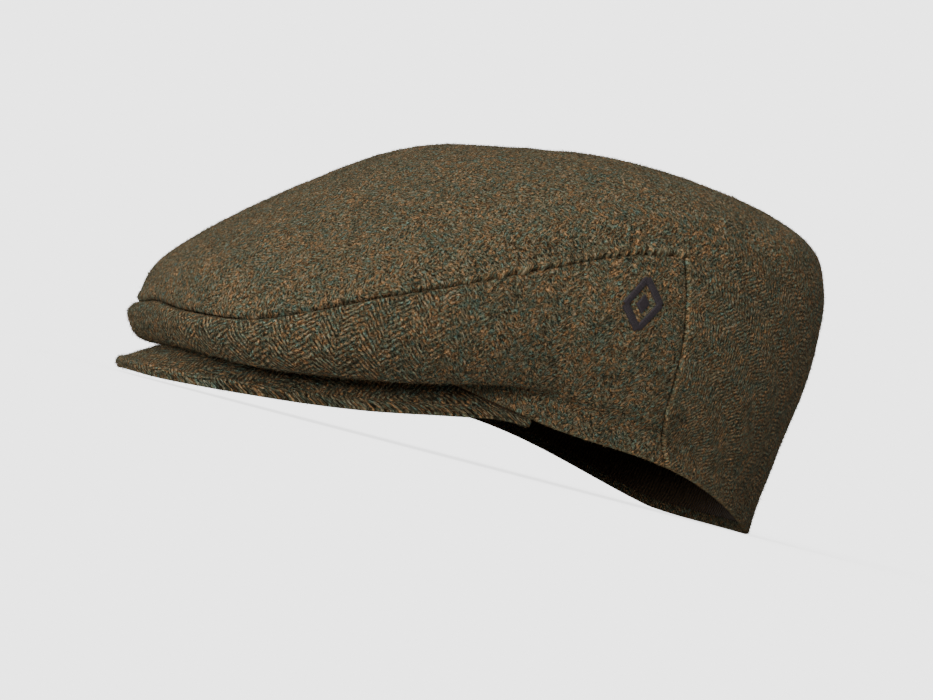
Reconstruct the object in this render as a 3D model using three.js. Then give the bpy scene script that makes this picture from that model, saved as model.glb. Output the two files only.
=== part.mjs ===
// A flat cap in herringbone tweed, resting on its hem and on the front of its peak.
// Millimetres, +Z up, the peak towards -Y, the wearer's left side towards +X.
// The crown is one cloth surface drawn as spokes that run from the hem up to a common top point.
// Its top panel runs from the lip back over the head to the hem, and a side band goes round the front below it.
import * as THREE from 'three';

// The hem: the oval that the head goes into, measured outside.
const hemLength = 207;
const hemWidth = 168;
const hemFrontHeight = 34; // the hem's height above the table at the front, where the peak lifts it
const hemRestLength = 14; // the stretch at the back that lies flat on the table
const hemTurnUp = 9; // the stiff, upright turned-up edge
const hemSideArch = 6; // how far the hem is cut up at each side, behind the peak

// The crown, measured past the hem.
const crownHeight = 128;
const crownFrontOverhang = 49;
const crownSideOverhang = 11;
const crownBackOverhang = 5;
const crownFrontSquareness = 3; // 2 is an ellipse, more is squarer
const crownBackSquareness = 2.2;
const clothWall = 2.2; // tweed with its interlining
const seamGap = 0.7; // between two panels, along their seam

// The peak: a stiff board covered in tweed.
const peakReach = 53;
const peakHalfWidth = 80;
const peakSquareness = 2.25; // of its outer edge, as crownFrontSquareness
const peakThickness = 4.6;
const peakTipThickness = 3;
const peakCamber = 1.8; // how far its middle stands above a straight line from hem to edge, at the front
const restGap = 0.6; // between cloth and what it lies on

// Inside.
const sweatbandRise = 4; // its lower edge, above the hem's edge
const sweatbandHeight = 34;
const sweatbandThickness = 1.2;
const sweatbandLean = 1.5; // how far its top leans inwards
const liningThickness = 1;
const liningHeadroom = 13; // below the crown's top
const liningFullness = 2.1; // the squareness of the lining's dome
const innerGap = 0.5; // between sweatband, lining and hem

// Where the spokes meet, and the seams that cut the crown into panels.
const topPointBehindHemFront = 86;
const rearSeamTurnAtHem = 120; // degrees from the front
const rearSeamTurnAtTop = 107;
const peakEndTurn = 82;
const hemArchEndTurn = 168;

// How each spoke rises: out is a share of the crown's outline in that direction, up of crownHeight,
// hemUp of hemTurnUp. The knots are hem edge, turn-up, tuck, belly, seam, lip, slope, crest, top point.
const topPointUp = 0.965;
const SPOKES = [
  { turn: 0, hemUp: 0.15, tuckOut: 0.945, tuckUp: 0.11, bellyUp: 0.18, seamOut: 0.99, seamUp: 0.225,
    lipOut: 0.965, lipUp: 0.345, slopeOut: 0.72, slopeUp: 0.603, crestOut: 0.38, crestUp: 0.855 },
  { turn: 15, hemUp: 0.15, tuckOut: 0.945, tuckUp: 0.11, bellyUp: 0.175, seamOut: 0.985, seamUp: 0.215,
    lipOut: 0.955, lipUp: 0.337, slopeOut: 0.72, slopeUp: 0.595, crestOut: 0.38, crestUp: 0.853 },
  { turn: 30, hemUp: 0.2, tuckOut: 0.93, tuckUp: 0.11, bellyUp: 0.18, seamOut: 0.98, seamUp: 0.24,
    lipOut: 0.945, lipUp: 0.34, slopeOut: 0.7, slopeUp: 0.615, crestOut: 0.37, crestUp: 0.863 },
  { turn: 50, hemUp: 0.45, tuckOut: 0.915, tuckUp: 0.16, bellyUp: 0.25, seamOut: 0.975, seamUp: 0.4,
    lipOut: 0.935, lipUp: 0.485, slopeOut: 0.68, slopeUp: 0.732, crestOut: 0.35, crestUp: 0.906 },
  { turn: 75, hemUp: 1, tuckOut: 0.92, tuckUp: 0.24, bellyUp: 0.38, seamOut: 0.97, seamUp: 0.575,
    lipOut: 0.92, lipUp: 0.693, slopeOut: 0.66, slopeUp: 0.852, crestOut: 0.34, crestUp: 0.94 },
  { turn: 100, hemUp: 1, tuckOut: 0.935, tuckUp: 0.27, bellyUp: 0.47, seamOut: 0.965, seamUp: 0.7,
    lipOut: 0.91, lipUp: 0.805, slopeOut: 0.65, slopeUp: 0.922, crestOut: 0.34, crestUp: 0.966 },
  { turn: 140, hemUp: 1, tuckOut: 0.955, tuckUp: 0.25, bellyUp: 0.53, seamOut: 0.975, seamUp: 0.755,
    lipOut: 0.915, lipUp: 0.868, slopeOut: 0.7, slopeUp: 0.952, crestOut: 0.39, crestUp: 0.984 },
  { turn: 180, hemUp: 1, tuckOut: 0.965, tuckUp: 0.24, bellyUp: 0.56, seamOut: 0.985, seamUp: 0.77,
    lipOut: 0.93, lipUp: 0.876, slopeOut: 0.76, slopeUp: 0.956, crestOut: 0.42, crestUp: 0.99 },
];

// The peak's underside along its outer edge: up is a share of hemFrontHeight.
const PEAK_EDGE = [
  { turn: 0, up: 0 },
  { turn: 13, up: 0 },
  { turn: 30, up: 0.08 },
  { turn: 45, up: 0.19 },
  { turn: 62, up: 0.36 },
  { turn: 82, up: 0.53 },
];

const RIM_KNOT = 0;
const HEM_KNOT = 1;
const SEAM_KNOT = 4;
const TOP_KNOT = 8;

const radians = THREE.MathUtils.degToRad;
const fromFront = (turn) => Math.abs(THREE.MathUtils.euclideanModulo(turn + 180, 360) - 180);

// The value of one column at a turn from the front, smooth through the rows and mirrored at both ends.
function columnAt(rows, column, turn) {
  const t = Math.min(fromFront(turn), rows[rows.length - 1].turn);
  const last = rows.length - 1;
  const row = (k) => {
    if (k < 0) return { turn: -rows[-k].turn, value: rows[-k][column] };
    const mirrored = rows[2 * last - k];
    if (k > last) return { turn: 2 * rows[last].turn - mirrored.turn, value: mirrored[column] };
    return { turn: rows[k].turn, value: rows[k][column] };
  };
  let k = 0;
  while (k < last - 1 && t > rows[k + 1].turn) k += 1;
  const [a, b, c, d] = [row(k - 1), row(k), row(k + 1), row(k + 2)];
  const span = c.turn - b.turn;
  const slopeB = (c.value - a.value) / (c.turn - a.turn);
  const slopeC = (d.value - b.value) / (d.turn - b.turn);
  const u = (t - b.turn) / span;
  return (
    b.value * (2 * u ** 3 - 3 * u ** 2 + 1) + c.value * (3 * u ** 2 - 2 * u ** 3) +
    span * (slopeB * (u ** 3 - 2 * u ** 2 + u) + slopeC * (u ** 3 - u ** 2))
  );
}

// The origin is the middle of the cap's footprint.
const capLength = peakReach + hemLength + crownBackOverhang;
const hemFrontY = peakReach - capLength / 2;
const hemCentreY = hemFrontY + hemLength / 2;
const topPointY = hemFrontY + topPointBehindHemFront;

// A point at a turn from the front and a distance from the upright line through the top point.
function polarPoint(turn, out, z) {
  return new THREE.Vector3(out * Math.sin(radians(turn)), topPointY - out * Math.cos(radians(turn)), z);
}

// The distance from that line to the hem's oval.
function hemOut(turn) {
  const s = Math.sin(radians(turn)) / (hemWidth / 2);
  const c = Math.cos(radians(turn)) / (hemLength / 2);
  const offset = (topPointY - hemCentreY) / (hemLength / 2);
  const a = s * s + c * c;
  const b = -offset * c;
  return (-b + Math.sqrt(b * b - a * (offset * offset - 1))) / a;
}

// The distance to an outline with a reach forwards or backwards and a half width.
function outlineOut(turn, reach, halfWidth, squareness) {
  const s = Math.abs(Math.sin(radians(turn))) / halfWidth;
  const c = Math.abs(Math.cos(radians(turn))) / reach;
  return (s ** squareness + c ** squareness) ** (-1 / squareness);
}
function crownOut(turn) {
  const halfWidth = hemWidth / 2 + crownSideOverhang;
  const forwards = topPointBehindHemFront + crownFrontOverhang;
  const backwards = hemLength - topPointBehindHemFront + crownBackOverhang;
  if (fromFront(turn) < 90) return outlineOut(turn, forwards, halfWidth, crownFrontSquareness);
  return outlineOut(turn, backwards, halfWidth, crownBackSquareness);
}

// The hem's height: flat on the table at the back, rising to the peak, with an arch at each side.
function hemHeight(turn) {
  const y = polarPoint(turn, hemOut(turn), 0).y;
  const run = hemLength - hemRestLength;
  const along = THREE.MathUtils.clamp((fromFront(turn) - peakEndTurn) / (hemArchEndTurn - peakEndTurn), 0, 1);
  const arch = hemSideArch * Math.sin(Math.PI * along) ** 2;
  return hemFrontHeight * Math.max(0, (hemFrontY + run - y) / run) + arch;
}

// The peak, measured along a spoke.
function peakEdgeOut(turn) {
  const edge = outlineOut(turn, topPointBehindHemFront + peakReach, peakHalfWidth, peakSquareness);
  return Math.max(edge, hemOut(turn) + peakTipThickness / 2);
}
function peakThicknessAt(turn) {
  const share = Math.min(1, Math.abs(turn) / peakEndTurn);
  return THREE.MathUtils.lerp(peakThickness, peakTipThickness, share ** 4);
}
function peakTop(turn, out) {
  const inner = hemOut(turn) - clothWall;
  const share = THREE.MathUtils.clamp((out - inner) / (peakEdgeOut(turn) - inner), 0, 1);
  const edge = hemFrontHeight * columnAt(PEAK_EDGE, 'up', turn) + peakThicknessAt(turn);
  const camber = (peakCamber * (peakEdgeOut(turn) - inner)) / peakReach;
  return THREE.MathUtils.lerp(hemHeight(turn) - restGap, edge, share) + camber * Math.sin(Math.PI * share);
}

// The crown's outer face: a turn from the front, and a row counted in knots from the hem's edge.
function spokeKnots(turn) {
  const outline = crownOut(turn);
  const at = (column) => columnAt(SPOKES, column, turn);
  const knot = (name) => new THREE.Vector2(outline * at(`${name}Out`), crownHeight * at(`${name}Up`));
  const hem = hemHeight(turn);
  return [
    new THREE.Vector2(hemOut(turn), hem),
    new THREE.Vector2(hemOut(turn), hem + hemTurnUp * at('hemUp')),
    knot('tuck'),
    new THREE.Vector2(outline, crownHeight * at('bellyUp')),
    knot('seam'),
    knot('lip'),
    knot('slope'),
    knot('crest'),
    new THREE.Vector2(0, crownHeight * topPointUp),
  ];
}
function crownPoint(turn, row) {
  const knots = spokeKnots(turn);
  const across = spokeKnots(180 - fromFront(turn))[TOP_KNOT - 1];
  const line = [...knots, new THREE.Vector2(-across.x, across.y)].map((k) => new THREE.Vector3(k.x, 0, k.y));
  const at = new THREE.CatmullRomCurve3(line, false, 'centripetal').getPoint(row / (line.length - 1));
  const overPeak = fromFront(turn) < peakEndTurn && row > RIM_KNOT && row < SEAM_KNOT;
  const floor = overPeak && at.x < peakEdgeOut(turn) ? peakTop(turn, at.x) + restGap : 0;
  return polarPoint(turn, at.x, Math.max(at.z, floor));
}

// How a surface runs at one place: its point, its two steps and its outward normal.
function frameAt(surface, turn, row) {
  const step = 0.02;
  const alongTurn = surface(turn + step, row).sub(surface(turn - step, row)).divideScalar(2 * step);
  const low = Math.max(row - step, 0);
  const high = Math.min(row + step, TOP_KNOT);
  const alongRow = surface(turn, high).sub(surface(turn, low)).divideScalar(high - low);
  const normal = new THREE.Vector3().crossVectors(alongTurn, alongRow).normalize();
  return { alongTurn: alongTurn.length(), alongRow: alongRow.length(), normal };
}
function topNormal() {
  const front = crownPoint(0, TOP_KNOT - 0.02);
  const back = crownPoint(180, TOP_KNOT - 0.02);
  const along = back.sub(front);
  return new THREE.Vector3(0, -along.z, along.y).normalize();
}

// The rear seam leans forwards as it rises, and the columns of the grid lean with it.
function rearSeamTurn(row) {
  const share = Math.min(1, Math.max(0, row / SEAM_KNOT));
  return THREE.MathUtils.lerp(rearSeamTurnAtHem, rearSeamTurnAtTop, share);
}
const frontColumns = 17; // from the centre front to a rear seam
const rearColumns = 18; // from one rear seam round the back to the other
function columnTurn(column, row) {
  const seam = rearSeamTurn(row);
  if (Math.abs(column) <= frontColumns) return (column / frontColumns) * seam;
  const beyond = (Math.abs(column) - frontColumns) / rearColumns;
  return seam + beyond * (360 - 2 * seam);
}

// A closed solid from a grid of outer and inner points, for the cells that are wanted.
function shell(outer, inner, cells) {
  const positions = [];
  const index = [];
  const ids = new Map();
  const idOf = (side, key) => {
    const name = `${side}:${key}`;
    if (!ids.has(name)) {
      ids.set(name, positions.length / 3);
      const p = (side === 'outer' ? outer : inner)(...key.split(',').map(Number));
      positions.push(p.x, p.y, p.z);
    }
    return ids.get(name);
  };
  const edges = new Map();
  for (const loop of cells) {
    const keys = loop.map((corner) => corner.join(','));
    for (let k = 1; k < keys.length - 1; k += 1) {
      index.push(idOf('outer', keys[0]), idOf('outer', keys[k]), idOf('outer', keys[k + 1]));
      index.push(idOf('inner', keys[0]), idOf('inner', keys[k + 1]), idOf('inner', keys[k]));
    }
    keys.forEach((a, k) => {
      const b = keys[(k + 1) % keys.length];
      if (edges.has(`${b}>${a}`)) edges.delete(`${b}>${a}`);
      else edges.set(`${a}>${b}`, [a, b]);
    });
  }
  for (const [a, b] of edges.values()) {
    index.push(idOf('outer', a), idOf('inner', a), idOf('inner', b));
    index.push(idOf('outer', a), idOf('inner', b), idOf('outer', b));
  }
  const geometry = new THREE.BufferGeometry();
  geometry.setAttribute('position', new THREE.Float32BufferAttribute(positions, 3));
  geometry.setIndex(index);
  geometry.computeVertexNormals();
  return geometry;
}

// The grid's rows, counted in knots.
const LOWER_ROWS = [RIM_KNOT, HEM_KNOT, 1.4, 1.75, 2, 2.35, 2.7, 3, 3.5, SEAM_KNOT];
const UPPER_ROWS = [SEAM_KNOT, 4.5, 5, 5.35, 5.7, 6, 6.35, 6.7, 7, 7.5, TOP_KNOT];
const ROWS = [...LOWER_ROWS, ...UPPER_ROWS.slice(1)];
const seamRowIndex = LOWER_ROWS.length - 1;
const topRowIndex = ROWS.length - 1;

// A panel of the crown: its cells, and how far each of its edge points draws back from a seam.
function crownPanel(cells, drawBack) {
  const place = (column, rowIndex) => {
    const row = ROWS[rowIndex];
    const turn = columnTurn(column, row);
    if (rowIndex === topRowIndex) return { turn: 0, row: TOP_KNOT };
    const frame = frameAt(crownPoint, turn, row);
    const back = drawBack(column, rowIndex);
    return {
      turn: turn + (back.turn * seamGap) / 2 / frame.alongTurn,
      row: row + (back.row * seamGap) / 2 / frame.alongRow,
    };
  };
  const outer = (column, rowIndex) => {
    const at = place(column, rowIndex);
    return crownPoint(at.turn, at.row);
  };
  const inner = (column, rowIndex) => {
    const at = place(column, rowIndex);
    const point = crownPoint(at.turn, at.row);
    if (rowIndex === topRowIndex) return point.addScaledVector(topNormal(), -clothWall);
    if (rowIndex === RIM_KNOT) return polarPoint(at.turn, hemOut(at.turn) - clothWall, point.z);
    return point.addScaledVector(frameAt(crownPoint, at.turn, at.row).normal, -clothWall);
  };
  return shell(outer, inner, cells);
}

// The cells of a block of the grid, each a loop of corners seen from outside.
function gridCells(firstColumn, lastColumn, firstRow, lastRow, wrap = (column) => column) {
  const cells = [];
  for (let c = firstColumn; c < lastColumn; c += 1) {
    for (let r = firstRow; r < lastRow; r += 1) {
      const [a, b] = [wrap(c), wrap(c + 1)];
      if (r + 1 === topRowIndex) cells.push([[a, r], [b, r], [0, r + 1]]);
      else cells.push([[a, r], [b, r], [b, r + 1], [a, r + 1]]);
    }
  }
  return cells;
}

// The side band goes from one rear seam round the front to the other.
function sideBand() {
  return crownPanel(gridCells(-frontColumns, frontColumns, 0, seamRowIndex), (column, rowIndex) => {
    const onRearSeam = Math.abs(column) === frontColumns;
    return { turn: onRearSeam ? -Math.sign(column) : 0, row: rowIndex === seamRowIndex ? -1 : 0 };
  });
}

// The top panel reaches down to the hem between the rear seams.
function topPanel() {
  const lastColumn = frontColumns + rearColumns;
  const wrap = (column) => (column === lastColumn ? -frontColumns : column);
  const cells = [
    ...gridCells(-frontColumns, lastColumn, seamRowIndex, topRowIndex, wrap),
    ...gridCells(frontColumns, lastColumn, 0, seamRowIndex, wrap),
  ];
  return crownPanel(cells, (column, rowIndex) => {
    const onRearSeam = Math.abs(column) === frontColumns && rowIndex <= seamRowIndex;
    const onFrontSeam = Math.abs(column) <= frontColumns && rowIndex === seamRowIndex;
    return { turn: onRearSeam ? Math.sign(column) : 0, row: onFrontSeam ? 1 : 0 };
  });
}

// A closed solid from a row of section loops, with a flat end on each of the first and last.
function loftLoops(loops, closedRound) {
  const positions = loops.flat().flatMap((p) => [p.x, p.y, p.z]);
  const size = loops[0].length;
  const index = [];
  const count = closedRound ? loops.length : loops.length - 1;
  for (let k = 0; k < count; k += 1) {
    const a = k * size;
    const b = ((k + 1) % loops.length) * size;
    for (let m = 0; m < size; m += 1) {
      const n = (m + 1) % size;
      index.push(a + m, b + m, b + n, a + m, b + n, a + n);
    }
  }
  if (!closedRound) {
    const end = (loops.length - 1) * size;
    for (let m = 1; m < size - 1; m += 1) {
      index.push(0, m, m + 1, end, end + m + 1, end + m);
    }
  }
  const geometry = new THREE.BufferGeometry();
  geometry.setAttribute('position', new THREE.Float32BufferAttribute(positions, 3));
  geometry.setIndex(index);
  geometry.computeVertexNormals();
  return geometry;
}

// The peak's section along a spoke: back edge, underside, round front edge, top.
function peakSection(turn) {
  const inner = hemOut(turn) - clothWall;
  const thickness = peakThicknessAt(turn);
  const edge = peakEdgeOut(turn) - thickness / 2;
  const spread = [0, 0.2, 0.4, 0.6, 0.8, 1];
  const at = (share) => THREE.MathUtils.lerp(inner, edge, share);
  const top = spread.map((share) => polarPoint(turn, at(share), peakTop(turn, at(share))));
  const under = top.map((p) => new THREE.Vector3(p.x, p.y, p.z - thickness));
  const round = [-45, 0, 45].map((lift) =>
    polarPoint(
      turn,
      edge + (thickness / 2) * Math.cos(radians(lift)),
      peakTop(turn, edge) - thickness / 2 + (thickness / 2) * Math.sin(radians(lift)),
    ),
  );
  return [...under, ...round, ...top.reverse()];
}
function peak() {
  const columns = 30;
  const turnOf = (k) => peakEndTurn * ((2 * k) / columns - 1);
  return loftLoops(Array.from({ length: columns + 1 }, (_, k) => peakSection(turnOf(k))), false);
}

// The sweatband stands up from the hem, and at the front it covers the peak's back edge.
const bandFace = (turn) => hemOut(turn) - clothWall - innerGap;
function sweatbandBottom(turn) {
  const besidePeak = THREE.MathUtils.smoothstep(Math.abs(turn), peakEndTurn - 8, peakEndTurn + 8);
  return hemHeight(turn) + THREE.MathUtils.lerp(-peakTipThickness / 2, sweatbandRise, besidePeak);
}
function sweatband() {
  const columns = 56;
  const loops = Array.from({ length: columns }, (_, k) => {
    const turn = (360 * k) / columns - 180;
    const bottom = sweatbandBottom(turn);
    const top = hemHeight(turn) + sweatbandHeight;
    const outer = bandFace(turn);
    const middle = (bottom + top) / 2;
    return [
      polarPoint(turn, outer - sweatbandThickness, bottom),
      polarPoint(turn, outer, bottom),
      polarPoint(turn, outer - sweatbandLean * 0.3, middle),
      polarPoint(turn, outer - sweatbandLean, top),
      polarPoint(turn, outer - sweatbandLean - sweatbandThickness, top),
      polarPoint(turn, outer - sweatbandLean * 0.3 - sweatbandThickness, middle),
    ];
  });
  return loftLoops(loops, true);
}

// The lining: a dome that goes on from the sweatband's top edge.
function liningPoint(turn, rise, inset) {
  const out = bandFace(turn) - sweatbandLean - inset;
  const foot = hemHeight(turn) + sweatbandHeight + innerGap;
  const top = crownHeight * topPointUp - clothWall - liningHeadroom - inset;
  const angle = radians(90 * rise);
  const share = 2 / liningFullness;
  return polarPoint(turn, out * Math.cos(angle) ** share, foot + (top - foot) * Math.sin(angle) ** share);
}
function lining() {
  const columns = 48;
  const rises = [0, 0.1, 0.22, 0.36, 0.52, 0.68, 0.84, 1];
  const last = rises.length - 1;
  const face = (inset) => (column, row) => liningPoint((360 * column) / columns - 180, rises[row], inset);
  const cells = [];
  for (let c = 0; c < columns; c += 1) {
    const b = (c + 1) % columns;
    for (let r = 0; r < last; r += 1) {
      if (r + 1 === last) cells.push([[c, r], [b, r], [0, last]]);
      else cells.push([[c, r], [b, r], [b, r + 1], [c, r + 1]]);
    }
  }
  return shell(face(0), face(liningThickness), cells);
}

function piece(name, geometry, colour, roughness) {
  const material = new THREE.MeshStandardMaterial({ color: colour, roughness, metalness: 0 });
  const mesh = new THREE.Mesh(geometry, material);
  mesh.name = name;
  return mesh;
}

const tweed = '#4b4332';
const cap = new THREE.Group();
cap.add(piece('top_panel', topPanel(), tweed, 0.95));
cap.add(piece('side_band', sideBand(), tweed, 0.95));
cap.add(piece('peak', peak(), tweed, 0.95));
cap.add(piece('sweatband', sweatband(), '#2a2118', 0.8));
cap.add(piece('lining', lining(), '#2a2118', 0.7));

export default cap;
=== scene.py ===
import math
import bpy
import numpy as np
from mathutils import Matrix, Vector


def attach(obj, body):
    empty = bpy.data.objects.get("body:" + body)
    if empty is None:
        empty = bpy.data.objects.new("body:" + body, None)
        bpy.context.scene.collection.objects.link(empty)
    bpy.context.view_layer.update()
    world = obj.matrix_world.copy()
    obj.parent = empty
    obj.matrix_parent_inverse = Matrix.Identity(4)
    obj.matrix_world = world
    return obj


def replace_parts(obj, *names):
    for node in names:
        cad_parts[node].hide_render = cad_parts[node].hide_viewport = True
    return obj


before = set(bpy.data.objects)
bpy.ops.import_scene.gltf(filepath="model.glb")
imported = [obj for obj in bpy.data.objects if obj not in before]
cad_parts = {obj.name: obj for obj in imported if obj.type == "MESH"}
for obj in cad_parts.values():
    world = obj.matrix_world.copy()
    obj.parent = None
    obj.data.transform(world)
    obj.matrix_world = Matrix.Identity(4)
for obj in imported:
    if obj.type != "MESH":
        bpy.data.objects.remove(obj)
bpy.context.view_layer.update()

# A flat cap in brushed herringbone tweed. All sizes are in millimetres until a mesh is made.

# The hem: the oval that the head goes into, measured outside.
HEM_LENGTH = 207.0
HEM_WIDTH = 168.0
HEM_FRONT_HEIGHT = 34.0
HEM_REST_LENGTH = 14.0
HEM_TURN_UP = 9.0
HEM_SIDE_ARCH = 6.0

# The crown, measured past the hem.
CROWN_HEIGHT = 128.0
CROWN_FRONT_OVERHANG = 49.0
CROWN_SIDE_OVERHANG = 11.0
CROWN_BACK_OVERHANG = 5.0
CROWN_FRONT_SQUARENESS = 3.0
CROWN_BACK_SQUARENESS = 2.2
CLOTH_WALL = 2.2

# The peak: a stiff board covered in tweed.
PEAK_REACH = 53.0
PEAK_HALF_WIDTH = 80.0
PEAK_SQUARENESS = 2.25
PEAK_THICKNESS = 4.6
PEAK_TIP_THICKNESS = 3.0
PEAK_CAMBER = 1.8
REST_GAP = 0.6  # between the peak's top and the hem's edge
PEAK_END_TURN = 82.0

# Inside.
SWEATBAND_HEIGHT = 34.0
SWEATBAND_THICKNESS = 1.2
SWEATBAND_LEAN = 1.5
SWEATBAND_RISE = 4.0
LINING_HEADROOM = 13.0
LINING_FULLNESS = 2.1
INNER_GAP = 0.5

# Where the spokes meet, and the seams between the panels.
TOP_POINT_BEHIND_HEM_FRONT = 86.0
TOP_POINT_UP = 0.965
REAR_SEAM_TURN_AT_HEM = 120.0
REAR_SEAM_TURN_AT_TOP = 107.0
HEM_ARCH_END_TURN = 168.0

# Knots of a spoke: hem edge, turn-up, tuck, belly, seam, lip, slope, crest, top point.
# "out" is a share of the crown's outline, "up" of its height, and "hem_up" of the turn-up's.
TURN_UP_KNOT = 1
TUCK_KNOT = 2
BELLY_KNOT = 3
SEAM_KNOT = 4
TOP_KNOT = 8
SPOKES = {
    "turn": [0, 15, 30, 50, 75, 100, 140, 180],
    "hem_up": [0.15, 0.15, 0.2, 0.45, 1, 1, 1, 1],
    "tuck_out": [0.945, 0.945, 0.93, 0.915, 0.92, 0.935, 0.955, 0.965],
    "tuck_up": [0.11, 0.11, 0.11, 0.16, 0.24, 0.27, 0.25, 0.24],
    "belly_up": [0.18, 0.175, 0.18, 0.25, 0.38, 0.47, 0.53, 0.56],
    "seam_out": [0.99, 0.985, 0.98, 0.975, 0.97, 0.965, 0.975, 0.985],
    "seam_up": [0.225, 0.215, 0.24, 0.4, 0.575, 0.7, 0.755, 0.77],
    "lip_out": [0.965, 0.955, 0.945, 0.935, 0.92, 0.91, 0.915, 0.93],
    "lip_up": [0.345, 0.337, 0.34, 0.485, 0.693, 0.805, 0.868, 0.876],
    "slope_out": [0.72, 0.72, 0.7, 0.68, 0.66, 0.65, 0.7, 0.76],
    "slope_up": [0.603, 0.595, 0.615, 0.732, 0.852, 0.922, 0.952, 0.956],
    "crest_out": [0.38, 0.38, 0.37, 0.35, 0.34, 0.34, 0.39, 0.42],
    "crest_up": [0.855, 0.853, 0.863, 0.906, 0.94, 0.966, 0.984, 0.99],
}
# How high the peak's edge stands, as a share of the hem's height at the front.
PEAK_EDGE = {"turn": [0, 13, 30, 45, 62, 82], "up": [0, 0, 0.08, 0.19, 0.36, 0.53]}

CAP_LENGTH = PEAK_REACH + HEM_LENGTH + CROWN_BACK_OVERHANG
HEM_FRONT_Y = PEAK_REACH - CAP_LENGTH / 2
HEM_CENTRE_Y = HEM_FRONT_Y + HEM_LENGTH / 2
TOP_POINT_Y = HEM_FRONT_Y + TOP_POINT_BEHIND_HEM_FRONT


def from_front(turn):
    return np.abs((turn + 180.0) % 360.0 - 180.0)


def smooth(low, high, x):
    t = np.clip((x - low) / (high - low), 0.0, 1.0)
    return t * t * (3 - 2 * t)


def column_at(table, column, turn):
    """One column of a table at a turn from the front, smooth through its rows and mirrored at both ends."""
    turns = np.array(table["turn"], float)
    values = np.array(table[column], float)
    x = np.concatenate([[-turns[1]], turns, [2 * turns[-1] - turns[-2]]])
    y = np.concatenate([[values[1]], values, [values[-2]]])
    t = np.minimum(from_front(np.asarray(turn, float)), turns[-1])
    k = np.clip(np.searchsorted(turns, t, side="left") - 1, 0, len(turns) - 2) + 1
    span = x[k + 1] - x[k]
    slope_low = (y[k + 1] - y[k - 1]) / (x[k + 1] - x[k - 1])
    slope_high = (y[k + 2] - y[k]) / (x[k + 2] - x[k])
    u = (t - x[k]) / span
    ends = y[k] * (2 * u**3 - 3 * u**2 + 1) + y[k + 1] * (3 * u**2 - 2 * u**3)
    return ends + span * (slope_low * (u**3 - 2 * u**2 + u) + slope_high * (u**3 - u**2))


def polar_point(turn, out, z):
    turn, out, z = np.broadcast_arrays(np.radians(turn), out, z)
    return np.stack([out * np.sin(turn), TOP_POINT_Y - out * np.cos(turn), z], axis=-1)


def hem_out(turn):
    s = np.sin(np.radians(turn)) / (HEM_WIDTH / 2)
    c = np.cos(np.radians(turn)) / (HEM_LENGTH / 2)
    offset = (TOP_POINT_Y - HEM_CENTRE_Y) / (HEM_LENGTH / 2)
    a = s * s + c * c
    b = -offset * c
    return (-b + np.sqrt(b * b - a * (offset * offset - 1))) / a


def outline_out(turn, reach, half_width, squareness):
    s = np.abs(np.sin(np.radians(turn))) / half_width
    c = np.abs(np.cos(np.radians(turn))) / reach
    return (s**squareness + c**squareness) ** (-1 / squareness)


def crown_out(turn):
    half_width = HEM_WIDTH / 2 + CROWN_SIDE_OVERHANG
    forwards = outline_out(turn, TOP_POINT_BEHIND_HEM_FRONT + CROWN_FRONT_OVERHANG, half_width,
                           CROWN_FRONT_SQUARENESS)
    backwards = outline_out(turn, HEM_LENGTH - TOP_POINT_BEHIND_HEM_FRONT + CROWN_BACK_OVERHANG, half_width,
                            CROWN_BACK_SQUARENESS)
    return np.where(from_front(turn) < 90, forwards, backwards)


def hem_height(turn):
    y = polar_point(turn, hem_out(turn), 0.0)[..., 1]
    run = HEM_LENGTH - HEM_REST_LENGTH
    along = np.clip((from_front(turn) - PEAK_END_TURN) / (HEM_ARCH_END_TURN - PEAK_END_TURN), 0.0, 1.0)
    arch = HEM_SIDE_ARCH * np.sin(np.pi * along) ** 2
    return HEM_FRONT_HEIGHT * np.maximum(0.0, (HEM_FRONT_Y + run - y) / run) + arch


def peak_edge_out(turn):
    edge = outline_out(turn, TOP_POINT_BEHIND_HEM_FRONT + PEAK_REACH, PEAK_HALF_WIDTH, PEAK_SQUARENESS)
    return np.maximum(edge, hem_out(turn) + PEAK_TIP_THICKNESS / 2)


def peak_thickness_at(turn):
    share = np.minimum(1.0, np.abs(turn) / PEAK_END_TURN)
    return PEAK_THICKNESS + (PEAK_TIP_THICKNESS - PEAK_THICKNESS) * share**4


def peak_top(turn, out):
    inner = hem_out(turn) - CLOTH_WALL
    share = np.clip((out - inner) / (peak_edge_out(turn) - inner), 0.0, 1.0)
    edge = HEM_FRONT_HEIGHT * column_at(PEAK_EDGE, "up", turn) + peak_thickness_at(turn)
    camber = PEAK_CAMBER * (peak_edge_out(turn) - inner) / PEAK_REACH
    seat = hem_height(turn) - REST_GAP
    return seat + (edge - seat) * share + camber * np.sin(np.pi * share)


def spoke_knots(turn):
    outline = crown_out(turn)
    hem = hem_height(turn)
    line = [(hem_out(turn), hem), (hem_out(turn), hem + HEM_TURN_UP * column_at(SPOKES, "hem_up", turn))]
    for name in ("tuck", "belly", "seam", "lip", "slope", "crest"):
        share = 1.0 if name == "belly" else column_at(SPOKES, name + "_out", turn)
        line.append((outline * share, CROWN_HEIGHT * column_at(SPOKES, name + "_up", turn)))
    line.append((np.zeros_like(outline), np.full_like(outline, CROWN_HEIGHT * TOP_POINT_UP)))
    return np.stack([np.stack(knot, axis=-1) for knot in line], axis=-2)


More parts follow.
